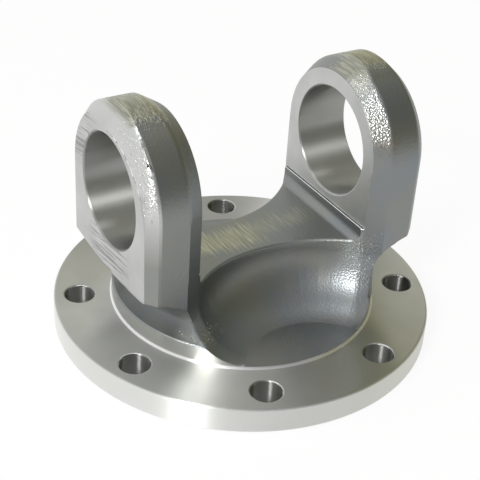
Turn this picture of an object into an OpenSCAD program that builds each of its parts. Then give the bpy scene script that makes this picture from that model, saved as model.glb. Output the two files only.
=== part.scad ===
// Forged flange yoke for a driveshaft universal joint.
// One steel forging: a turned bolt flange at the bottom, a round boss,
// two legs that carry the ears of the cross bore, and a saddle between them.
// +Z runs along the shaft axis, away from the mating face.
// X runs along the cross bore. The origin is the centre of the mating face.

/* [Flange] */
// Outer diameter of the bolt flange
flange_d = 180; // [172:1:200]
// Thickness of the flange
flange_t = 12.8; // [9:0.1:15]
// Chamfer on the rim of the flange
rim_chamfer = 0.8; // [0.3:0.1:1.5]
// Distance from the rim of the flange to the centre of each bolt hole
bolt_inset = 12.25; // [11:0.25:14]
// Number of flange bolts
bolt_count = 8; // [4, 6, 8]
// Diameter of each bolt hole
bolt_hole_d = 14.1; // [10:0.1:16]
// Chamfer at both ends of each bolt hole
bolt_chamfer = 0.5; // [0.2:0.1:1]
// Diameter of the pilot recess in the mating face
pilot_d = 110; // [90:1:116]
// Depth of the pilot recess
pilot_depth = 2.5; // [1.5:0.1:4]
// Diameter of the forged hollow inside the pilot recess
hollow_d = 76; // [50:1:84]
// Depth of the forged hollow below the mating face
hollow_depth = 14; // [8:0.5:18]

/* [Boss and legs] */
// Diameter of the turned boss
boss_d = 125; // [122:0.5:130]
// Height above the mating face to which the boss is turned
boss_top = 21; // [17:0.5:26]
// Radius of the turned corner between flange and boss
boss_corner = 1.2; // [0.5:0.1:2]
// Diameter of the forged legs above the turned boss
leg_d = 123.8; // [118:0.2:125]
// Radius of the fillet under each ear
under_fillet = 12.5; // [6:0.5:13]
// Height of the underside of the ears at that fillet
under_z = 44.4; // [40:0.2:48]
// Slope of the underside of the ears, in degrees
under_slope = 18; // [8:1:25]

/* [Ears] */
// Distance over the outer faces of the ears
ear_span = 141; // [134:0.5:150]
// Distance between the milled inner faces of the ears
ear_gap = 87; // [80:0.5:94]
// Diameter of the cross bore
bore_d = 52; // [44:0.5:54]
// Height of the cross bore above the mating face
bore_z = 84; // [78:0.5:95]
// Chamfer at both ends of each cross bore
bore_chamfer = 0.7; // [0.3:0.1:1.5]
// Radius of the forged rim round the bore, which is half the ear's width
ear_r = 39; // [37:0.5:42]
// Radius of the milled inner face
inner_face_r = 34.2; // [32:0.1:36]
// Radius of the machined outer face
outer_face_r = 34.8; // [32:0.1:36]
// Depth of the inner bevel along the bore
inner_bevel = 8; // [4:0.5:10]
// Depth of the outer bevel along the bore
outer_bevel = 4.6; // [2:0.2:6]
// Radius of the crown left by the parting line on top of each ear
crown_r = 30; // [24:1:36]
// Height of that crown above the forged rim
crown_h = 1.2; // [0.4:0.1:2]
// Height of the step where the milled inner faces end
ledge_z = 53.6; // [50:0.2:57]
// Width of that step
ledge_w = 1; // [0.4:0.1:2]

/* [Saddle] */
// Height of the land midway between the ears
land_z = 44; // [41:0.2:46]
// Radius of the land along the cross bore
land_r = 335; // [200:5:600]
// Radius of the fillet between the land and the ears
land_fillet = 4.5; // [2:0.1:6]
// Radius of the scoop in front of and behind the land
scoop_r = 57.3; // [54:0.1:59]
// Distance of the scoop centre from the shaft axis
scoop_y = 71.5; // [70:0.1:76]
// Radius of the corner between the wall and the floor of the scoop
scoop_corner = 27; // [20:0.5:36]
// Height of the floor of the scoop above the mating face
scoop_floor = 13.8; // [13.4:0.1:16]
// Radius in plan of the shoulder between the scoop and each leg
shoulder_r = 25; // [10:1:40]

/* [Ground facet on the left ear] */
// Distance from the cross bore to the facet on the outer face
facet_h = 28.3; // [26.8:0.1:31]
// Distance of the facet centre below the cross bore
facet_drop = 5.5; // [2:0.5:9]
// Rise of the facet for each millimetre along the bore
facet_slope = 2; // [1.2:0.1:3]

/* [Hidden] */
$fn = 96;
// How far a cut runs past the surface that it opens
slack = 1;
// How far surfaces that would only touch, or share a plane, are set over each other, so that they cross
lap = 0.1;
flange_r = flange_d / 2;
bolt_pcd = flange_d - 2 * bolt_inset;
boss_r = boss_d / 2;
leg_r = leg_d / 2;
outer_x = ear_span / 2;
milled_x = ear_gap / 2;
forged_x = milled_x - ledge_w;
inner_slope = (ear_r - inner_face_r) / inner_bevel;
outer_slope = (ear_r - outer_face_r) / outer_bevel;
top_z = bore_z + ear_r + crown_h;
limit_r = ear_r + crown_h + slack;
// Height below which the saddle's hollow alone shapes the inner side of the ears
foot_z = scoop_floor + scoop_corner - 2 * slack;

// In plan the wall of each hollow runs round the scoop, turns over a rounded shoulder
// and goes on along the inner bevel of the ear.
leg_angle = atan2(ear_r - inner_face_r, inner_bevel);
leg_way = [cos(leg_angle), -sin(leg_angle)];
leg_ahead = [-sin(leg_angle), -cos(leg_angle)];
wall_arm = [milled_x, scoop_y - inner_face_r] - (shoulder_r + lap) * leg_ahead;
wall_way = wall_arm * leg_way;
wall_end = sqrt(wall_way * wall_way - wall_arm * wall_arm + pow(scoop_r + shoulder_r, 2)) - wall_way;
// Centre of the shoulder as seen from the centre of the scoop, and the turn between the two walls
shoulder_place = wall_arm + wall_end * leg_way;
shoulder_turn = atan2(shoulder_place[0], shoulder_place[1]) - leg_angle;
scoop_height = ledge_z - scoop_floor + slack;
scoop_far = 2 * boss_r;
shoulder_corner = scoop_corner + 2 * lap;

// Half section of an ear as radius and place along the bore.
function ear_half(sign) = [
    [sign * (inner_face_r - ledge_w * inner_slope), forged_x],
    [sign * limit_r, milled_x + (limit_r - inner_face_r) / inner_slope],
    [sign * limit_r, outer_x - (limit_r - outer_face_r) / outer_slope],
    [sign * outer_face_r, outer_x]
];

// Turns a flat outline in the YZ plane into a solid along +X.
module along_x(length) {
    rotate([90, 0, 90])
        linear_extrude(height = length)
            children();
}

module flange_profile() {
    difference() {
        polygon([
            [0, 0],
            [flange_r - rim_chamfer, 0],
            [flange_r, rim_chamfer],
            [flange_r, flange_t - rim_chamfer],
            [flange_r - rim_chamfer, flange_t],
            [boss_r + boss_corner, flange_t],
            [boss_r + boss_corner, flange_t + boss_corner],
            [boss_r, flange_t + boss_corner],
            [0, flange_t + boss_corner]
        ]);
        translate([boss_r + boss_corner, flange_t + boss_corner])
            circle(r = boss_corner);
    }
}

module flange() {
    rotate_extrude()
        flange_profile();
}

// Everything that the boss, the legs and the undersides of the ears may fill.
module under_profile() {
    reach = outer_x + ear_r;
    fillet_z = under_z - under_fillet * cos(under_slope);
    start_r = leg_r + under_fillet * (1 - sin(under_slope));
    difference() {
        polygon([
            [0, 0],
            [boss_r, 0],
            [boss_r, boss_top],
            [leg_r, boss_top + boss_r - leg_r],
            [leg_r, fillet_z],
            [start_r, fillet_z],
            [start_r, under_z],
            [reach, under_z + (reach - start_r) * tan(under_slope)],
            [reach, top_z + slack],
            [0, top_z + slack]
        ]);
        translate([leg_r + under_fillet, fillet_z])
            circle(r = under_fillet);
    }
}

module under_envelope() {
    rotate_extrude()
        under_profile();
}

module ear_outline() {
    translate([0, bore_z])
        circle(r = ear_r);
    translate([0, top_z - crown_r])
        circle(r = crown_r);
    translate([-ear_r, 0])
        square([2 * ear_r, bore_z]);
}

module ear_bevels() {
    front = [for (p = ear_half(-1)) [p[1], p[0]]];
    back = [for (i = [3:-1:0]) [ear_half(1)[i][1], ear_half(1)[i][0]]];
    translate([0, 0, bore_z])
        rotate([0, 90, 0])
            rotate_extrude()
                polygon(concat([[0, forged_x]], ear_half(1), [[0, outer_x]]));
    translate([0, 0, foot_z])
        linear_extrude(height = bore_z - foot_z)
            polygon(concat(front, back));
    linear_extrude(height = foot_z)
        polygon([
            [forged_x, -limit_r],
            front[2],
            front[3],
            back[0],
            back[1],
            [forged_x, limit_r]
        ]);
}

module ear() {
    difference() {
        intersection() {
            translate([forged_x - slack, 0, 0])
                along_x(outer_x - forged_x + 2 * slack)
                    ear_outline();
            ear_bevels();
            under_envelope();
        }
        translate([0, -ear_r - slack, ledge_z])
            cube([milled_x, 2 * (ear_r + slack), top_z]);
    }
}

// Bar along Y whose top is the land, with a fillet up to each ear.
module land_bar() {
    fillet_x = forged_x - land_fillet;
    fillet_z = land_z + land_r - sqrt(pow(land_r - land_fillet, 2) - fillet_x * fillet_x);
    tip_x = fillet_x * land_r / (land_r - land_fillet);
    translate([0, boss_r, 0])
        rotate([90, 0, 0])
            linear_extrude(height = 2 * boss_r) {
                difference() {
                    translate([-tip_x, 0])
                        square([2 * tip_x, fillet_z]);
                    translate([0, land_z + land_r])
                        circle(r = land_r, $fn = 720);
                }
                for (s = [0, 1])
                    mirror([s, 0])
                        difference() {
                            translate([tip_x, 0])
                                square([boss_r - tip_x, fillet_z]);
                            translate([fillet_x, fillet_z])
                                circle(r = land_fillet);
                        }
            }
}

// Steel in the rounded corner between the wall of the hollow at x = 0 and its floor, which lies on one side.
module scoop_fillet(side, corner) {
    difference() {
        translate([side < 0 ? -corner : 0, 0])
            square([corner, corner]);
        translate([side * corner, corner])
            circle(r = corner, $fn = 180);
    }
}

module scoop() {
    rotate_extrude($fn = 180)
        difference() {
            translate([0, lap])
                square([scoop_r, scoop_height - lap]);
            translate([scoop_r, 0])
                scoop_fillet(-1, scoop_corner);
        }
}

// Hollow in front of a shoulder whose centre is the origin.
module shoulder_front() {
    difference() {
        translate([0, 0, lap])
            linear_extrude(height = scoop_height - lap)
                polygon([
                    [0, 0],
                    [-scoop_far * sin(shoulder_turn), -scoop_far * cos(shoulder_turn)],
                    [0, -scoop_far]
                ]);
        rotate_extrude($fn = 180) {
            translate([0, -slack])
                square([shoulder_r + lap, scoop_height + 2 * slack]);
            translate([shoulder_r + lap, 0])
                scoop_fillet(1, shoulder_corner);
        }
    }
}

// Hollow in front of the leg, from the end of that shoulder outwards.
module leg_front() {
    translate([-shoulder_r, 0, 0])
        rotate([90, 0, 90])
            linear_extrude(height = scoop_far)
                difference() {
                    translate([-scoop_far, lap])
                        square([scoop_far - shoulder_r, scoop_height - lap]);
                    translate([-shoulder_r, 0])
                        scoop_fillet(-1, scoop_corner);
                }
}

// Hollow in front of the land and the legs.
module dish() {
    translate([0, -scoop_y, scoop_floor])
        scoop();
    for (s = [0, 1])
        mirror([s, 0, 0])
            translate([milled_x, -inner_face_r, scoop_floor])
                rotate([0, 0, -leg_angle])
                    translate([wall_end, shoulder_r + lap, 0]) {
                        shoulder_front();
                        leg_front();
                    }
}

module saddle() {
    intersection() {
        rotate_extrude()
            polygon([
                [0, 0],
                [boss_r, 0],
                [boss_r, boss_top],
                [leg_r, boss_top + boss_r - leg_r],
                [leg_r, ledge_z],
                [0, ledge_z]
            ]);
        land_bar();
    }
}

// Material ground off the top of the outer face of the left ear.
module facet() {
    depth = outer_bevel + 2 * slack;
    base_z = bore_z - facet_drop;
    face_r = facet_h + facet_drop;
    front_y = face_r - outer_face_r;
    wide = ear_r + slack;
    difference() {
        translate([-outer_x - slack, -wide, base_z])
            cube([depth + slack, 2 * wide, top_z]);
        translate([-outer_x - 2 * slack, front_y, base_z])
            rotate([0, 90, 0])
                cylinder(r1 = face_r - 2 * slack * facet_slope, r2 = face_r + depth * facet_slope,
                         h = depth + 2 * slack);
        translate([0, wide + slack, 0])
            rotate([90, 0, 0])
                linear_extrude(height = wide + slack - front_y)
                    polygon([
                        [-outer_x - 2 * slack, 0],
                        [-outer_x + depth, 0],
                        [-outer_x + depth, base_z + face_r + depth * facet_slope],
                        [-outer_x - 2 * slack, base_z + face_r - 2 * slack * facet_slope]
                    ]);
    }
}

module bores() {
    length = ear_span + 2 * slack;
    translate([0, 0, bore_z])
        rotate([0, 90, 0]) {
            cylinder(d = bore_d, h = length, center = true);
            for (s = [-1, 1]) {
                translate([0, 0, s * outer_x])
                    chamfer_cone(bore_d / 2, bore_chamfer, s);
                translate([0, 0, s * milled_x])
                    chamfer_cone(bore_d / 2, bore_chamfer, -s);
            }
        }
}

// Cone that breaks the edge of a hole of radius r in a face that looks along +Z or -Z.
module chamfer_cone(r, size, side) {
    mirror([0, 0, side > 0 ? 0 : 1])
        translate([0, 0, -size])
            cylinder(r1 = r, r2 = r + 2 * size, h = 2 * size);
}

module bolt_holes() {
    for (i = [0:bolt_count - 1])
        rotate([0, 0, (i + 0.5) * 360 / bolt_count])
            translate([bolt_pcd / 2, 0, 0]) {
                translate([0, 0, -slack])
                    cylinder(d = bolt_hole_d, h = flange_t + 2 * slack);
                translate([0, 0, flange_t])
                    chamfer_cone(bolt_hole_d / 2, bolt_chamfer, 1);
                chamfer_cone(bolt_hole_d / 2, bolt_chamfer, -1);
            }
}

module underside() {
    translate([0, 0, -slack])
        cylinder(d = pilot_d, h = pilot_depth + slack);
    cylinder(d1 = hollow_d, d2 = hollow_d - hollow_depth, h = hollow_depth);
}

module yoke() {
    color("slategray")
        difference() {
            union() {
                flange();
                difference() {
                    union() {
                        saddle();
                        ear();
                        mirror([1, 0, 0])
                            ear();
                    }
                    dish();
                    mirror([0, 1, 0])
                        dish();
                }
            }
            bores();
            bolt_holes();
            underside();
            facet();
        }
}

yoke();
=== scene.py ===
"""Forged flange yoke: a shot-blasted steel forging with turned, milled and bored faces, on a pale floor."""

import math
from collections import namedtuple

import bmesh
import bpy
from bpy.props import FloatProperty, FloatVectorProperty, IntProperty, PointerProperty
from mathutils import Matrix, Vector


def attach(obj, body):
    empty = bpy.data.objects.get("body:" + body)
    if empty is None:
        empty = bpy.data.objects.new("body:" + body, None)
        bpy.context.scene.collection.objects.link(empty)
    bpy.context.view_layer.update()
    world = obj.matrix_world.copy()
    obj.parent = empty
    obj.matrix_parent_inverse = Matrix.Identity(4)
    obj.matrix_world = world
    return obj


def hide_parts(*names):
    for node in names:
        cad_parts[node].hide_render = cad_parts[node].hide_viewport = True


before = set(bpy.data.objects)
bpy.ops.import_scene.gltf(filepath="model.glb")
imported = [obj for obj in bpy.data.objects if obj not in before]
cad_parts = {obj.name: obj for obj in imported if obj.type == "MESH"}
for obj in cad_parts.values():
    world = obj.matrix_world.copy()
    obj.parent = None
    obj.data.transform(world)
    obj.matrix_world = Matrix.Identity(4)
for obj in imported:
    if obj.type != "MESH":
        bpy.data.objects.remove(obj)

bl_info = {
    "name": "Forged Flange Yoke",
    "version": (1, 0, 0),
    "blender": (4, 5, 0),
    "location": "3D View > Sidebar > Yoke",
    "description": "Dresses a forged flange yoke and sets it on a pale studio floor",
    "category": "Add Mesh",
}

MM = 0.001
NODE = "yoke"
PIECE = "forged_yoke"

# Sizes of the part that the finishes follow, in millimetres
FLANGE_R = round(max(vertex.co.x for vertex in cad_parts[NODE].data.vertices) / MM, 2)
FLANGE_TOP = 12.8
HOLLOW_R = 38.0
BOSS_R = 62.5
BOSS_TOP = 21.0
OUTER_X = 70.5
MILLED_X = 43.5
FORGED_X = 42.5
LEDGE_Z = 53.6
MEETING_Z = 54.6
BORE_R = 26.0
BORE_Z = 84.0
BORE_CHAMFER = 0.7
# How far a point may lie off a face and still count as on it, in millimetres
NEAR = 0.02

# Edges that turn by less than this many degrees belong to a curve
LEAST_EDGE = 20
# Faces that meet within this many degrees are shaded as one
SMOOTH_ANGLE = 30.5
# Cosine of 30 degrees: a neighbour that bends less carries an edge on
CARRIES_ON = 0.87

# Part of the skin with a look of its own: its range along each axis and the softness of its rim across X and
# across Y and Z, all in millimetres, and how strong the look is there, from 0 to 1
Zone = namedtuple("Zone", "x y z soft_x soft_yz share")

# Where the shot left a coarse skin; its colour is also lifted there as a painted glint
COARSE_AND_GLINT = (
    # Upper and lower front of the left ear's outer bevel
    Zone((-69.0, -66.1), (-37.0, -4.0), (104.0, 119.0), 0.6, 2.5, 0.8),
    Zone((-70.0, -66.1), (-38.6, -8.0), (89.0, 110.0), 0.6, 2.5, 0.7),
    # Front of the right ear's inner bevel
    Zone((44.0, 51.3), (-38.4, -8.0), (97.5, 120.0), 0.3, 2.5, 0.85),
    # Right shoulder of the front scoop
    Zone((16.0, 46.0), (-62.0, -31.0), (27.0, 49.0), 6.0, 4.0, 0.6),
    # Foot of the wall under the right shelf
    Zone((35.5, 41.8), (-30.0, 10.0), (48.9, 52.8), 0.8, 0.8, 1.0),
    # Left foot of the front scoop
    Zone((-56.0, -22.0), (-62.0, -33.0), (21.4, 27.0), 2.0, 2.0, 0.4),
)
# Thin rust on the front of the right ear
RUST = (Zone((46.0, 53.0), (-39.5, -32.0), (92.0, 99.0), 1.5, 1.5, 1.0),)
# Where the grinder went over the skin
GROUND = (
    # Crown of the left ear, then crown and inner bevel of the right one
    Zone((-66.4, -49.0), (-13.0, 11.0), (110.0, 130.0), 0.8, 2.0, 1.0),
    Zone((51.0, 65.5), (-9.0, 19.0), (110.0, 130.0), 1.5, 2.0, 1.0),
    Zone((44.5, 52.0), (-15.0, 6.0), (110.0, 130.0), 1.0, 2.0, 0.85),
    # Left and right half of the saddle
    Zone((-47.0, 6.0), (-9.0, 7.0), (40.0, 51.5), 4.0, 2.5, 1.0),
    Zone((0.0, 36.0), (-4.0, 6.0), (40.0, 51.5), 4.0, 2.5, 0.5),
)

# Camera of the photograph: its angles in degrees, and in millimetres its lens for a 36 mm sensor, the point
# that it looks at and how far away it stands
CAMERA_TURN = -32.419
CAMERA_RISE = 32.176
CAMERA_ROLL = 3.718
CAMERA_LENS = 87.33
CAMERA_AIM = (-11.883, -14.749, 52.018)
CAMERA_DISTANCE = 528.079

# Kinds of node that are added most
MATH = "ShaderNodeMath"
VECTOR = "ShaderNodeVectorMath"
RANGE = "ShaderNodeMapRange"
MIX = "ShaderNodeMix"
NOISE = "ShaderNodeTexNoise"
SPLIT = "ShaderNodeSeparateXYZ"
RANDOM = "FunctionNodeRandomValue"

WHITE = (1, 1, 1, 1)


def linear(hex_colour):
    """Turns an sRGB hex colour into the linear colour that a shader takes."""
    parts = [int(hex_colour[i : i + 2], 16) / 255 for i in (1, 3, 5)]
    return [c / 12.92 if c <= 0.04045 else ((c + 0.055) / 1.055) ** 2.4 for c in parts]


def colour(value, level=1.0):
    """Colour that a socket takes, made darker by level."""
    return (*(c * level for c in value), 1.0)


def colour_property(name, text, hex_colour):
    return FloatVectorProperty(
        name=name, description=text, default=linear(hex_colour), size=3, min=0.0, max=1.0, subtype="COLOR"
    )


def length_property(name, text, mm, low, high):
    return FloatProperty(
        name=name,
        description=text,
        default=mm * MM,
        min=low * MM,
        max=high * MM,
        unit="LENGTH",
        subtype="DISTANCE",
        precision=5,
    )


class YokeEdges(bpy.types.PropertyGroup):
    """Sizes of the broken and forged edges."""

    forged: length_property("Forged edge", "Radius of the edges left by the forging die", 1.1, 0.2, 2.0)
    foot: length_property("Ear foot", "Radius of the lower outer edges of the ears", 1.1, 0.2, 3.0)
    shelf: length_property("Shelf edge", "Radius of the edge of the shelf above the saddle", 0.55, 0.1, 0.8)
    machined: length_property("Machined edge", "Radius of the broken edges of machined faces", 0.3, 0.05, 0.6)


class YokeGrain(bpy.types.PropertyGroup):
    """Sizes of the grains that shot blasting leaves."""

    size: length_property("Grain size", "Mean width of a blasted grain", 0.7, 0.3, 1.5)
    density: FloatProperty(
        name="Grain density",
        description="Grains on each square millimetre where the skin is roughest",
        default=1.0,
        min=0.0,
        max=3.0,
    )
    seed: IntProperty(name="Seed", description="Seed of the scatter", default=7, min=0)


class YokeColours(bpy.types.PropertyGroup):
    """Colours of the steel and of the stage."""

    blasted: colour_property("Blasted steel", "Forged skin after shot blasting", "#8c8d88")
    blasted_cool: colour_property("Blasted steel, cool", "Cooler clouds in the forged skin", "#858a8d")
    turned: colour_property("Turned steel", "Flange and boss after turning", "#c3c4bf")
    # Painted highlight: the rim gets a lighter colour than the turned face, for the light it catches
    rim_highlight: colour_property("Turned rim", "Rim of the flange after the finishing cut", "#e9eae6")
    milled: colour_property("Milled steel", "Faces of the ears after milling", "#c9cac8")
    scratch: colour_property("Scratch", "Bottom of the scratches in a milled face", "#555552")
    bored: colour_property("Bored steel", "Walls of the cross bore", "#b2b3af")
    ground: colour_property("Ground steel", "Bare strips left by the grinder", "#b3b4a4")
    grain_dull: colour_property("Dull grain", "Darkest grains raised by the shot", "#8b8d8c")
    grain_bright: colour_property("Bright grain", "Brightest grains raised by the shot", "#f8f9f8")
    rust: colour_property("Rust", "Thin rust stain", "#8a5a3a")
    floor: colour_property("Floor", "Pale studio floor", "#f2f2f2")
    warm: colour_property("Warm side", "Light of the room on the right of the part", "#fcf9d2")


def add(tree, kind, *values, named=None, **settings):
    """Adds one node. values go to its inputs in use, in order, and named gives inputs by name.

    A node among the values stands for its first output that is in use.
    """
    made = tree.nodes.new(kind)
    for key, value in settings.items():
        setattr(made, key, value)
    links = list(zip((socket for socket in made.inputs if socket.enabled), values))
    links += [(made.inputs[name], value) for name, value in (named or {}).items()]
    for socket, value in links:
        if isinstance(value, bpy.types.Node):
            value = next(output for output in value.outputs if output.enabled)
        if isinstance(value, bpy.types.NodeSocket):
            tree.links.new(value, socket)
        else:
            socket.default_value = value
    return made


def new_material(name):
    """Starts a material. Gives it, its tree, and the place on the part in millimetres, whole and by axis."""
    made = bpy.data.materials.new(name)
    made.use_nodes = True
    tree = made.node_tree
    tree.nodes.clear()
    metres = add(tree, "ShaderNodeTexCoord").outputs["Object"]
    mm = add(tree, VECTOR, metres, (1 / MM,) * 3, operation="MULTIPLY")
    return made, tree, mm, add(tree, SPLIT, mm).outputs


def coat_in_steel(tree, look):
    """Ends a material in bare metal with the look given by input name."""
    shader = add(tree, "ShaderNodeBsdfPrincipled", named={"Metallic": 1.0, **look})
    add(tree, "ShaderNodeOutputMaterial", shader)


def overlap(tree, share, *others):
    """Share where all the given shares hold: their product."""
    for other in others:
        share = add(tree, MATH, share, other, operation="MULTIPLY")
    return share


def clouds(tree, mm, widths, detail=2.0, roughness=0.5):
    """Noise whose clouds are as wide along X, Y and Z as widths says, in millimetres."""
    drawn = add(tree, VECTOR, mm, [1 / width for width in widths], operation="MULTIPLY")
    return add(tree, NOISE, drawn, 1.0, detail, roughness)


def strokes(tree, mm, wide, long, turn_deg=0.0):
    """Noise drawn out into strokes along Y, tilted about X by turn_deg."""
    turned = add(tree, "ShaderNodeMapping", named={"Vector": mm, "Rotation": (math.radians(turn_deg), 0, 0)})
    return clouds(tree, turned, (wide, long, wide), 3.0, 0.6)


def relief(tree, *layers):
    """Bumps laid over one another. Each layer gives a height, its depth in metres and its strength."""
    normal = None
    for height, depth, strength in layers:
        links = {"Height": height, "Distance": depth, "Strength": strength}
        if normal:
            links["Normal"] = normal
        normal = add(tree, "ShaderNodeBump", named=links)
    return normal


def tool_path(tree, mm, centre, axis):
    """Direction along the marks of a tool that went round an axis through centre."""
    arm = add(tree, VECTOR, mm, centre, operation="SUBTRACT")
    return add(tree, VECTOR, axis, arm, operation="CROSS_PRODUCT")


def zone_share(tree, axes, zones, jag=None):
    """Largest share of the zones that hold the point, and 0 outside them. jag moves their ends along Y."""
    found = None
    for zone in zones:
        share = zone.share
        softness = (zone.soft_x, zone.soft_yz, zone.soft_yz)
        for number, (low, high) in enumerate((zone.x, zone.y, zone.z)):
            along = axes[number]
            if jag and number == 1:
                along = add(tree, MATH, along, jag, operation="ADD")
            away = add(tree, MATH, along, (low + high) / 2, operation="SUBTRACT")
            away = add(tree, MATH, away, operation="ABSOLUTE")
            half, soft = (high - low) / 2, softness[number]
            share = overlap(tree, share, add(tree, RANGE, away, half + soft, half - soft))
        found = add(tree, MATH, found, share, operation="MAXIMUM") if found else share
    return found


def turned_steel(colours):
    """Turned carbon steel: satin, and its concentric feed marks draw each highlight out across them."""
    made, tree, mm, (x, y, z) = new_material("turned_steel")
    # Real feed marks stand 0.2 mm apart, drawn 0.8 mm apart so that they show
    mark_width = 0.8
    # A wave texture has one crest on each 2 pi / 20 of its scaled place
    scale = math.tau / 20 / mark_width
    waves = {"Vector": mm, "Scale": scale, "Distortion": 0.4, "Detail": 2.0, "Detail Scale": 2.0}
    rings = add(tree, "ShaderNodeTexWave", named=waves, wave_type="RINGS", rings_direction="Z")
    flat = add(tree, "ShaderNodeCombineXYZ", x, y)
    out = add(tree, VECTOR, flat, operation="LENGTH")
    cloud = clouds(tree, mm, (24, 24, 24))
    patch = add(tree, RANGE, cloud, 0.35, 0.65)
    shade = add(tree, MIX, patch, colour(colours.turned), colour(colours.turned, 0.9), data_type="RGBA")
    # Painted shade: the walls of the bolt holes are painted dark, for the shade that falls inside them
    below = add(tree, RANGE, z, FLANGE_TOP, FLANGE_TOP - 0.6)
    above = add(tree, RANGE, z, 0.2, 0.8)
    inside = add(tree, RANGE, out, FLANGE_R - 2, FLANGE_R - 3)
    hole_shade = overlap(tree, below, above, inside, 0.42)
    shade = add(tree, MIX, hole_shade, shade, colour(colours.turned, 0.3), data_type="RGBA")
    # Painted highlight: the rim is painted brightest, for the light that catches it
    rim_highlight = add(tree, RANGE, out, FLANGE_R - 0.6, FLANGE_R - 0.3)
    shade = add(tree, MIX, rim_highlight, shade, colour(colours.rim_highlight), data_type="RGBA")
    # Painted highlight: the corner at the foot of the boss is painted white, for the light it reflects
    below = add(tree, RANGE, z, FLANGE_TOP + 1.3, FLANGE_TOP + 0.9)
    above = add(tree, RANGE, z, FLANGE_TOP, FLANGE_TOP + 0.1)
    inside = add(tree, RANGE, out, BOSS_R + 2.4, BOSS_R + 1.9)
    shade = add(tree, MIX, overlap(tree, below, above, inside), shade, WHITE, data_type="RGBA")
    look = {
        "Base Color": shade,
        "Roughness": add(tree, MIX, cloud, 0.36, 0.4, data_type="FLOAT"),
        "Anisotropic": 1.0,
        "Anisotropic Rotation": 0.25,
        "Tangent": tool_path(tree, mm, (0, 0, 0), (0, 0, 1)),
        "Normal": relief(tree, (rings.outputs["Fac"], 0.012 * MM, 0.5)),
    }
    coat_in_steel(tree, look)
    return made


def bored_steel(colours):
    """Bored carbon steel: satin, and the feed marks round the bore draw highlights out along it."""
    made, tree, mm, _ = new_material("bored_steel")
    # Real feed marks stand 0.15 mm apart, drawn 0.8 mm wide along the bore
    marks = clouds(tree, mm, (0.8, 40, 40))
    patch = add(tree, RANGE, clouds(tree, mm, (30, 12, 12), 3.0), 0.3, 0.7)
    light, dark = colour(colours.bored), colour(colours.bored, 0.85)
    look = {
        "Base Color": add(tree, MIX, patch, light, dark, data_type="RGBA"),
        "Roughness": 0.42,
        "Anisotropic": 0.95,
        "Anisotropic Rotation": 0.25,
        "Tangent": tool_path(tree, mm, (0, 0, BORE_Z), (1, 0, 0)),
        "Normal": relief(tree, (marks, 0.015 * MM, 0.4)),
    }
    coat_in_steel(tree, look)
    return made


def milled_steel(colours):
    """Milled carbon steel: satin, with faint cutter marks, and coarse scratches on the left outer face."""
    made, tree, mm, (x, y, z) = new_material("milled_steel")
    patch = add(tree, RANGE, clouds(tree, mm, (14, 14, 14), 3.0), 0.3, 0.7)
    # Real cutter marks are 0.1 mm wide, drawn 0.8 mm wide so that they show
    fine = clouds(tree, mm, (0.8, 0.8, 0.8))
    shade = add(tree, MIX, patch, colour(colours.milled), colour(colours.milled, 0.88), data_type="RGBA")
    left_face = add(tree, MATH, x, 0.5 - OUTER_X, operation="LESS_THAN")
    beside_bore = overlap(tree, add(tree, RANGE, z, 82, 90), add(tree, RANGE, y, 10, 20))
    middle = overlap(tree, add(tree, RANGE, y, 22, 12), add(tree, RANGE, y, -22, -12))
    under_bore = overlap(tree, middle, add(tree, RANGE, z, 66, 58))
    scratched = add(tree, MATH, beside_bore, under_bore, operation="MAXIMUM")
    # Real scratches are 0.1 to 0.4 mm wide, drawn 0.9 mm wide and up to 30 mm long so that they show
    scratches = add(tree, RANGE, strokes(tree, mm, 0.9, 30, 7), 0.52, 0.6)
    scratches = overlap(tree, scratched, left_face, scratches)
    dark = overlap(tree, scratches, 0.55)
    sunk = overlap(tree, scratches, -1.0)
    look = {
        "Base Color": add(tree, MIX, dark, shade, colour(colours.scratch), data_type="RGBA"),
        "Roughness": add(tree, MIX, fine, 0.36, 0.44, data_type="FLOAT"),
        "Normal": relief(tree, (fine, 0.012 * MM, 0.4), (sunk, 0.2 * MM, 0.8)),
    }
    coat_in_steel(tree, look)
    return made


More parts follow.
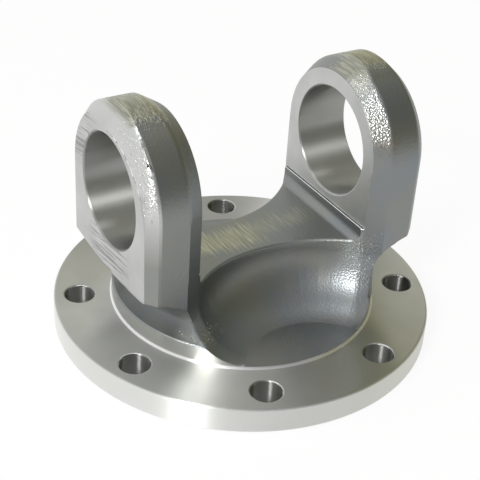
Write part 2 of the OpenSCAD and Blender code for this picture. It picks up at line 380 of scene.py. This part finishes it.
def blasted_forging(colours):
    """Forged carbon steel, shot-blasted: a dull grey skin of small pits, ground bare in strips."""
    made, tree, mm, axes = new_material("blasted_forging")
    x, y, z = axes
    # Real blast pits are 0.3 to 0.5 mm wide, drawn 0.95 mm wide so that they show
    pits = add(tree, "ShaderNodeTexVoronoi", named={"Vector": mm, "Scale": 1 / 0.95}, feature="F1")
    fine = clouds(tree, mm, (0.6, 0.6, 0.6), 2.0, 0.6)
    # The strokes of the grinder end up to 11 mm short or over, so each bare strip has a ragged rim
    jag = add(tree, MATH, strokes(tree, mm, 0.9, 60), 22, -11, operation="MULTIPLY_ADD")
    ground = zone_share(tree, axes, GROUND, jag)
    coarse_and_glint = zone_share(tree, axes, COARSE_AND_GLINT)
    patch = add(tree, RANGE, clouds(tree, mm, (26, 26, 26)), 0.35, 0.65)
    skin = add(tree, MIX, patch, colour(colours.blasted), colour(colours.blasted_cool), data_type="RGBA")
    # The outer bevel of the left ear is smoother, and painted lighter, most of all its upper half: painted
    # light, where the window lights it
    bevel = overlap(tree, add(tree, RANGE, x, -64.2, -64.8), add(tree, RANGE, z, 66, 92, 0.1, 1.0))
    skin = add(tree, MIX, bevel, skin, colour(colours.milled), data_type="RGBA")
    # Real grinding lines are 0.1 to 0.3 mm wide, drawn 0.7 mm wide so that they show
    lines = strokes(tree, mm, 0.7, 16)
    line = add(tree, RANGE, lines, 0.42, 0.62)
    bare = add(tree, MIX, line, colour(colours.ground, 0.62), colour(colours.ground), data_type="RGBA")
    shade = add(tree, MIX, ground, skin, bare, data_type="RGBA")
    # Painted glint: on the coarse skin the colour is lifted halfway towards turned steel, for the glints it
    # catches
    shade = add(tree, MIX, overlap(tree, coarse_and_glint, 0.5), shade, colour(colours.turned), data_type="RGBA")
    spots = add(tree, RANGE, clouds(tree, mm, (2.5, 2.5, 2.5)), 0.5, 0.65)
    rust = overlap(tree, zone_share(tree, axes, RUST), spots, 0.5)
    dull = add(tree, MIX, fine, 0.36, 0.46, data_type="FLOAT")
    worked = add(tree, MATH, ground, coarse_and_glint, operation="MAXIMUM")
    pit_height = add(tree, MIX, ground, pits, 0.4, data_type="FLOAT")
    pit_depth = add(tree, MIX, coarse_and_glint, 0.06 * MM, 0.4 * MM, data_type="FLOAT")
    dents = (clouds(tree, mm, (5, 5, 5)), 0.06 * MM, 0.4)
    grooves = (overlap(tree, ground, lines), 0.3 * MM, 0.8)
    look = {
        "Base Color": add(tree, MIX, rust, shade, colour(colours.rust), data_type="RGBA"),
        "Roughness": add(tree, MIX, worked, dull, 0.32, data_type="FLOAT"),
        "Normal": relief(tree, dents, (pit_height, pit_depth, 0.8), (fine, 0.025 * MM, 0.6), grooves),
    }
    coat_in_steel(tree, look)
    return made


def shot_grain(colours):
    """Bare carbon steel raised by the shot into grains and burrs, whose small facets catch the light."""
    made, tree, mm, (x, y, z) = new_material("shot_grain")
    # Painted highlight: the burr along the shelf is painted as one light matt line, brightest and less
    # metallic
    shelf = add(tree, MATH, z, LEDGE_Z - 0.2, 0.4, operation="COMPARE")
    tone = add(tree, RANGE, clouds(tree, mm, (3, 3, 3), 1.0), 0.35, 0.6)
    tone = add(tree, MATH, tone, shelf, operation="MAXIMUM")
    dull, bright = colour(colours.grain_dull), colour(colours.grain_bright)
    look = {
        "Base Color": add(tree, MIX, tone, dull, bright, data_type="RGBA"),
        "Metallic": add(tree, MIX, shelf, 1.0, 0.3, data_type="FLOAT"),
        "Roughness": 0.3,
    }
    coat_in_steel(tree, look)
    return made


FINISHES = (blasted_forging, turned_steel, milled_steel, bored_steel, shot_grain)
BLASTED, TURNED, MILLED, BORED, GRAIN = range(len(FINISHES))


def finish_of(point, normal):
    """Which finish the shop leaves on the face at point, in millimetres."""
    x, y, z = point
    out = math.hypot(x, y)
    from_bore = math.hypot(y, z - BORE_Z)
    if z < FLANGE_TOP + NEAR and out > HOLLOW_R:
        return TURNED
    if z < BOSS_TOP + NEAR and out > BOSS_R - 0.5:
        return TURNED
    across = abs(normal[0]) > 0.9
    if across and abs(abs(x) - OUTER_X) < NEAR:
        return MILLED
    if across and abs(abs(x) - MILLED_X) < NEAR and z > LEDGE_Z - NEAR:
        return MILLED
    if abs(z - LEDGE_Z) < NEAR and normal[2] > 0.9:
        return MILLED
    if from_bore < BORE_R + BORE_CHAMFER + NEAR and abs(x) > FORGED_X - 0.5:
        return BORED
    return BLASTED


def room_beside(edge):
    """Width, in metres, of the room that the faces of an edge leave for rounding it."""
    least = 1.0
    for loop in edge.link_loops:
        before, after = loop.link_loop_prev.edge, loop.link_loop_next.edge
        for side, corner in ((before, loop.vert), (after, loop.link_loop_next.vert)):
            along = (edge.other_vert(corner).co - corner.co).normalized()
            beside = side.other_vert(corner).co - corner.co
            # A neighbour that carries the edge on round a curve leaves it all the room
            if beside.dot(along) > -CARRIES_ON * beside.length:
                least = min(least, beside.cross(along).length)
    return least


def is_crowded(point):
    """True near a point, in millimetres, where faces meet so narrowly that their edges stay sharp."""
    x, y, z = point
    under_shelf = 41 < abs(x) < 45.5 and abs(y) > 31 and 44 < z < 53.4
    leg_tip = abs(x) < 56 and abs(y) > 37.5 and 38 < z < 44
    flat_front = x < -64 and y < -28 and 75 < z < 97
    flat_back = x < -64 and y > 12 and z > 105
    return under_shelf or leg_tip or flat_front or flat_back


def is_meeting(edge):
    """True for the short edges where the hollow of the saddle meets the inner bevels of the ears."""
    ends = (vertex.co / MM for vertex in edge.verts)
    near = any(abs(z - MEETING_Z) < 0.3 and 33.5 < abs(y) < 37 for x, y, z in ends)
    return near and edge.calc_length() < 12 * MM


def edge_radius(edge, edges):
    """Rounding of one edge of the part, in metres, or 0 where it stays sharp or isn't a real one."""
    if len(edge.link_faces) != 2 or edge.calc_face_angle(0.0) < math.radians(LEAST_EDGE):
        return 0.0
    if is_meeting(edge) or any(is_crowded(vertex.co / MM) for vertex in edge.verts):
        return 0.0
    first, second = edge.link_faces
    x, y, z = (edge.verts[0].co + edge.verts[1].co) / 2 / MM
    if abs(z - LEDGE_Z) < NEAR and abs(abs(x) - FORGED_X) < 0.1:
        return edges.shelf
    # The cutter left a sharp corner behind the shelf
    if abs(z - LEDGE_Z) < NEAR and abs(abs(x) - MILLED_X) < 0.1:
        return 0.0
    if {first.material_index, second.material_index} != {BLASTED}:
        return edges.machined
    ear_foot = abs(x) > 60 and z < 56 and min(first.normal.z, second.normal.z) < -0.15
    return edges.foot if ear_foot else edges.forged


def dissolve_flats(mesh):
    """Joins the triangles of each flat face, so that its edges can be rounded."""
    hair = 1e-6
    bmesh.ops.remove_doubles(mesh, verts=mesh.verts, dist=hair)
    bmesh.ops.dissolve_degenerate(mesh, dist=hair, edges=mesh.edges)
    bmesh.ops.dissolve_limit(
        mesh,
        angle_limit=math.radians(0.2),
        use_dissolve_boundaries=False,
        verts=mesh.verts,
        edges=mesh.edges,
        delimit={"NORMAL"},
    )


def plain_mesh(piece):
    """Applies every modifier on the piece and gives it the result as its only mesh."""
    graph = bpy.context.evaluated_depsgraph_get()
    shaped = piece.evaluated_get(graph)
    made = bpy.data.meshes.new_from_object(shaped, preserve_all_data_layers=True, depsgraph=graph)
    made.name = PIECE
    piece.modifiers.clear()
    piece.data = made


def machine(source, edges):
    """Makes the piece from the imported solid, with a finish on each face and a radius for each edge."""
    mesh = bmesh.new()
    mesh.from_mesh(source.data)
    dissolve_flats(mesh)
    for face in mesh.faces:
        face.material_index = finish_of(face.calc_center_median() / MM, face.normal)
        face.smooth = True
    widest = max(edges.forged, edges.foot, edges.machined)
    weights = mesh.edges.layers.float.new("bevel_weight_edge")
    for edge in mesh.edges:
        radius = edge_radius(edge, edges)
        edge[weights] = radius / widest if radius <= room_beside(edge) else 0.0
    data = bpy.data.meshes.new(PIECE)
    mesh.to_mesh(data)
    mesh.free()
    piece = bpy.data.objects.new(PIECE, data)
    rounding = piece.modifiers.new("edges", "BEVEL")
    rounding.width = widest
    rounding.segments = 3
    rounding.limit_method = "WEIGHT"
    rounding.use_clamp_overlap = False
    rounding.loop_slide = False
    rounding.miter_outer = "MITER_SHARP"
    return piece


def paint_arris_highlights(mesh):
    """Painted highlight: gives the bright arrises of the left ear, and the edge of each shelf, the light
    finish of the grains.
    """
    for face in mesh.polygons:
        x, y, z = face.center / MM
        nx, ny, nz = face.normal
        # Only the faces of a rounded edge turn between its two sides
        face_arris = x < 0.4 - OUTER_X and z > 80 and y < 22 and 0.91 < -nx < 0.985
        band_arris = -66.8 < x < -64.0 and 105 < z < 120 and y < -8 and 0.12 < -nx < 0.6
        on_shelf = FORGED_X - 0.1 < abs(x) < MILLED_X + 0.1 and LEDGE_Z - 0.5 < z < LEDGE_Z + 0.1
        if face_arris or band_arris or (on_shelf and nz > 0.2):
            face.material_index = GRAIN


def raise_grains(piece, settings):
    """Scatters grains over the coarse skin, each a small ball sunk into it, by a modifier on the piece."""
    tree = bpy.data.node_groups.new("shot_grains", "GeometryNodeTree")
    sockets = tree.interface
    sockets.new_socket("Geometry", in_out="OUTPUT", socket_type="NodeSocketGeometry")
    sockets.new_socket("Geometry", in_out="INPUT", socket_type="NodeSocketGeometry")
    sizes = {"Grain size": "NodeSocketFloat", "Density": "NodeSocketFloat", "Seed": "NodeSocketInt"}
    keys = {}
    for name, kind in sizes.items():
        keys[name] = sockets.new_socket(name, in_out="INPUT", socket_type=kind).identifier
    given = add(tree, "NodeGroupInput").outputs
    skin = {"Mesh": given["Geometry"], "Density": given["Density"], "Seed": given["Seed"]}
    points = add(tree, "GeometryNodeDistributePointsOnFaces", named=skin, distribute_method="RANDOM").outputs
    # Points are dropped by chance, so that the grains thin out towards the rim of each zone
    place = add(tree, "GeometryNodeInputPosition")
    mm = add(tree, VECTOR, place, (1 / MM,) * 3, operation="MULTIPLY")
    share = zone_share(tree, add(tree, SPLIT, mm).outputs, COARSE_AND_GLINT)
    chance = add(tree, RANDOM, 0.0, 1.0, named={"Seed": 3}, data_type="FLOAT")
    spare = add(tree, MATH, chance, share, operation="GREATER_THAN")
    kept = add(tree, "GeometryNodeDeleteGeometry", points["Points"], spare, domain="POINT")
    depth = 0.22 * MM
    sunk = add(tree, VECTOR, points["Normal"], (-depth,) * 3, operation="MULTIPLY")
    placed = add(tree, "GeometryNodeSetPosition", named={"Geometry": kept, "Offset": sunk})
    radius = add(tree, MATH, given["Grain size"], 0.5, operation="MULTIPLY")
    ball = add(tree, "GeometryNodeMeshIcoSphere", radius, 1)
    full_turn = 6.28
    turns = add(tree, RANDOM, (0, 0, 0), (full_turn,) * 3, named={"Seed": 1}, data_type="FLOAT_VECTOR")
    scales = add(tree, RANDOM, 0.6, 1.15, named={"Seed": 2}, data_type="FLOAT")
    grains = {"Points": placed, "Instance": ball, "Rotation": turns, "Scale": scales}
    real = add(tree, "GeometryNodeRealizeInstances", add(tree, "GeometryNodeInstanceOnPoints", named=grains))
    steel = piece.data.materials[GRAIN]
    coated = add(tree, "GeometryNodeSetMaterial", named={"Geometry": real, "Material": steel})
    joined = add(tree, "GeometryNodeJoinGeometry", given["Geometry"])
    tree.links.new(coated.outputs[0], joined.inputs[0])
    add(tree, "NodeGroupOutput", joined)
    scatter = piece.modifiers.new("shot_grains", "NODES")
    scatter.node_group = tree
    scatter[keys["Grain size"]] = settings.size
    scatter[keys["Density"]] = settings.density / MM**2
    scatter[keys["Seed"]] = settings.seed


def shade_by_area(mesh):
    """Gives each corner the mean normal of the faces round its point that turn little from its own face."""
    around = [[] for _ in mesh.vertices]
    facing = []
    for face in mesh.polygons:
        facing.append((face.normal.copy(), face.normal * face.area))
        for vertex in face.vertices:
            around[vertex].append(face.index)
    least = math.cos(math.radians(SMOOTH_ANGLE))
    normals = []
    for face in mesh.polygons:
        own = facing[face.index][0]
        for vertex in face.vertices:
            total = Vector((0, 0, 0))
            for other in around[vertex]:
                normal, weighted = facing[other]
                if own.dot(normal) >= least:
                    total += weighted
            normals.append(total.normalized() if total.length > 0 else own)
    mesh.normals_split_custom_set(normals)


class YOKE_OT_forging(bpy.types.Operator):
    """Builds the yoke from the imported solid, with rounded edges and a finish on each face"""

    bl_idname = "yoke.forging"
    bl_label = "Forged yoke"

    def execute(self, context):
        piece = machine(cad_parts[NODE], context.scene.yoke_edges)
        context.scene.collection.objects.link(piece)
        for finish in FINISHES:
            piece.data.materials.append(finish(context.scene.yoke_colours))
        plain_mesh(piece)
        paint_arris_highlights(piece.data)
        raise_grains(piece, context.scene.yoke_grain)
        plain_mesh(piece)
        shade_by_area(piece.data)
        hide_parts(NODE)
        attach(piece, "root")
        return {"FINISHED"}


def floor_paint(colours):
    """Matt pale paint that camera and metal see as white, but for soft shadows and what the part covers."""
    made, tree, mm, _ = new_material("floor_paint")
    matt = add(tree, "ShaderNodeBsdfDiffuse", named={"Color": colour(colours.floor)})
    glow = add(tree, "ShaderNodeEmission", named={"Color": WHITE, "Strength": 1.0})
    path = add(tree, "ShaderNodeLightPath").outputs
    mirrored = overlap(tree, path["Is Glossy Ray"], 0.8)
    seen = add(tree, MATH, path["Is Camera Ray"], mirrored, operation="MAXIMUM")
    out = add(tree, VECTOR, mm, operation="LENGTH")
    clear = add(tree, RANGE, out, FLANGE_R - 1.5, FLANGE_R - 0.5)
    shader = add(tree, "ShaderNodeMixShader", overlap(tree, seen, clear, 0.9), matt, glow)
    add(tree, "ShaderNodeOutputMaterial", shader)
    return made


def world_light(context):
    """Soft room light: white to the camera, bright behind and on the left, dim in front, warmer right."""
    world = bpy.data.worlds.new("studio")
    world.use_nodes = True
    context.scene.world = world
    tree = world.node_tree
    tree.nodes.clear()
    way = add(tree, "ShaderNodeTexCoord").outputs["Generated"]
    direct = add(tree, "ShaderNodeLightPath").outputs["Is Camera Ray"]
    side = add(tree, VECTOR, way, (-0.75, 0.65, 0), operation="DOT_PRODUCT")
    level = add(tree, RANGE, side, -0.75, 0.7, 0.3, 1.05, interpolation_type="SMOOTHSTEP")
    strength = add(tree, MIX, direct, level, 1.0, data_type="FLOAT")
    right = add(tree, RANGE, add(tree, SPLIT, way), 0.3, 0.7, interpolation_type="SMOOTHSTEP")
    warm = overlap(tree, right, add(tree, MATH, 1.0, direct, operation="SUBTRACT"))
    tone = add(tree, MIX, warm, WHITE, colour(context.scene.yoke_colours.warm), data_type="RGBA")
    add(tree, "ShaderNodeOutputWorld", add(tree, "ShaderNodeBackground", tone, strength))


def lamp(context, name, place, aim, width, watts):
    """Square area lamp, with its sizes in metres."""
    data = bpy.data.lights.new(name, "AREA")
    data.shape = "RECTANGLE"
    data.size = width
    data.size_y = width
    data.energy = watts
    made = bpy.data.objects.new(name, data)
    made.location = place
    made.rotation_euler = (Vector(aim) - Vector(place)).to_track_quat("-Z", "Y").to_euler()
    context.scene.collection.objects.link(made)


def camera(context):
    """Looks from the front left and above, as in the photograph."""
    turn, rise, roll = (math.radians(angle) for angle in (CAMERA_TURN, CAMERA_RISE, CAMERA_ROLL))
    back = Vector((math.sin(turn) * math.cos(rise), -math.cos(turn) * math.cos(rise), math.sin(rise)))
    right = Vector((math.cos(turn), math.sin(turn), 0))
    up = back.cross(right)
    rolled_right = right * math.cos(roll) + up * math.sin(roll)
    rolled_up = up * math.cos(roll) - right * math.sin(roll)
    data = bpy.data.cameras.new("camera")
    data.lens = CAMERA_LENS
    data.clip_start = 0.05
    data.clip_end = 50
    made = bpy.data.objects.new("camera", data)
    place = Vector(CAMERA_AIM) * MM + back * CAMERA_DISTANCE * MM
    turned = Matrix((rolled_right, rolled_up, back)).transposed().to_4x4()
    made.matrix_world = Matrix.Translation(place) @ turned
    context.scene.collection.objects.link(made)
    context.scene.camera = made


class YOKE_OT_stage(bpy.types.Operator):
    """Sets the floor, the soft lamps and the camera"""

    bl_idname = "yoke.stage"
    bl_label = "Stage"

    def execute(self, context):
        half = 4.0
        corners = [(-half, -half, 0), (half, -half, 0), (half, half, 0), (-half, half, 0)]
        data = bpy.data.meshes.new("floor")
        data.from_pydata(corners, [], [(0, 1, 2, 3)])
        data.materials.append(floor_paint(context.scene.yoke_colours))
        floor = bpy.data.objects.new("floor", data)
        context.scene.collection.objects.link(floor)
        world_light(context)
        lamp(context, "window", (-1.15, -0.72, 0.91), (0, 0, 0.06), 0.36, 14)
        lamp(context, "ceiling", (-0.3, 0.15, 1.9), (0, 0, 0), 0.4, 3)
        camera(context)
        return {"FINISHED"}


class YOKE_PT_panel(bpy.types.Panel):
    """Lists the steps that dress the yoke"""

    bl_label = "Forged Yoke"
    bl_idname = "YOKE_PT_panel"
    bl_space_type = "VIEW_3D"
    bl_region_type = "UI"
    bl_category = "Yoke"

    def draw(self, context):
        scene = context.scene
        for group in (scene.yoke_edges, scene.yoke_grain, scene.yoke_colours):
            box = self.layout.box()
            for key in group.bl_rna.properties.keys():
                if key not in {"rna_type", "name"}:
                    box.prop(group, key)
        for kind in OPERATORS:
            self.layout.operator(kind.bl_idname)


GROUPS = {"yoke_edges": YokeEdges, "yoke_grain": YokeGrain, "yoke_colours": YokeColours}
OPERATORS = (YOKE_OT_forging, YOKE_OT_stage)
CLASSES = (*GROUPS.values(), *OPERATORS, YOKE_PT_panel)


def register():
    for kind in CLASSES:
        bpy.utils.register_class(kind)
    for name, group in GROUPS.items():
        setattr(bpy.types.Scene, name, PointerProperty(type=group))


def unregister():
    for name in GROUPS:
        delattr(bpy.types.Scene, name)
    for kind in reversed(CLASSES):
        bpy.utils.unregister_class(kind)


def main():
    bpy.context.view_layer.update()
    register()
    bpy.context.scene.view_settings.view_transform = "Standard"
    bpy.ops.yoke.forging()
    bpy.ops.yoke.stage()


if __name__ == "__main__":
    main()
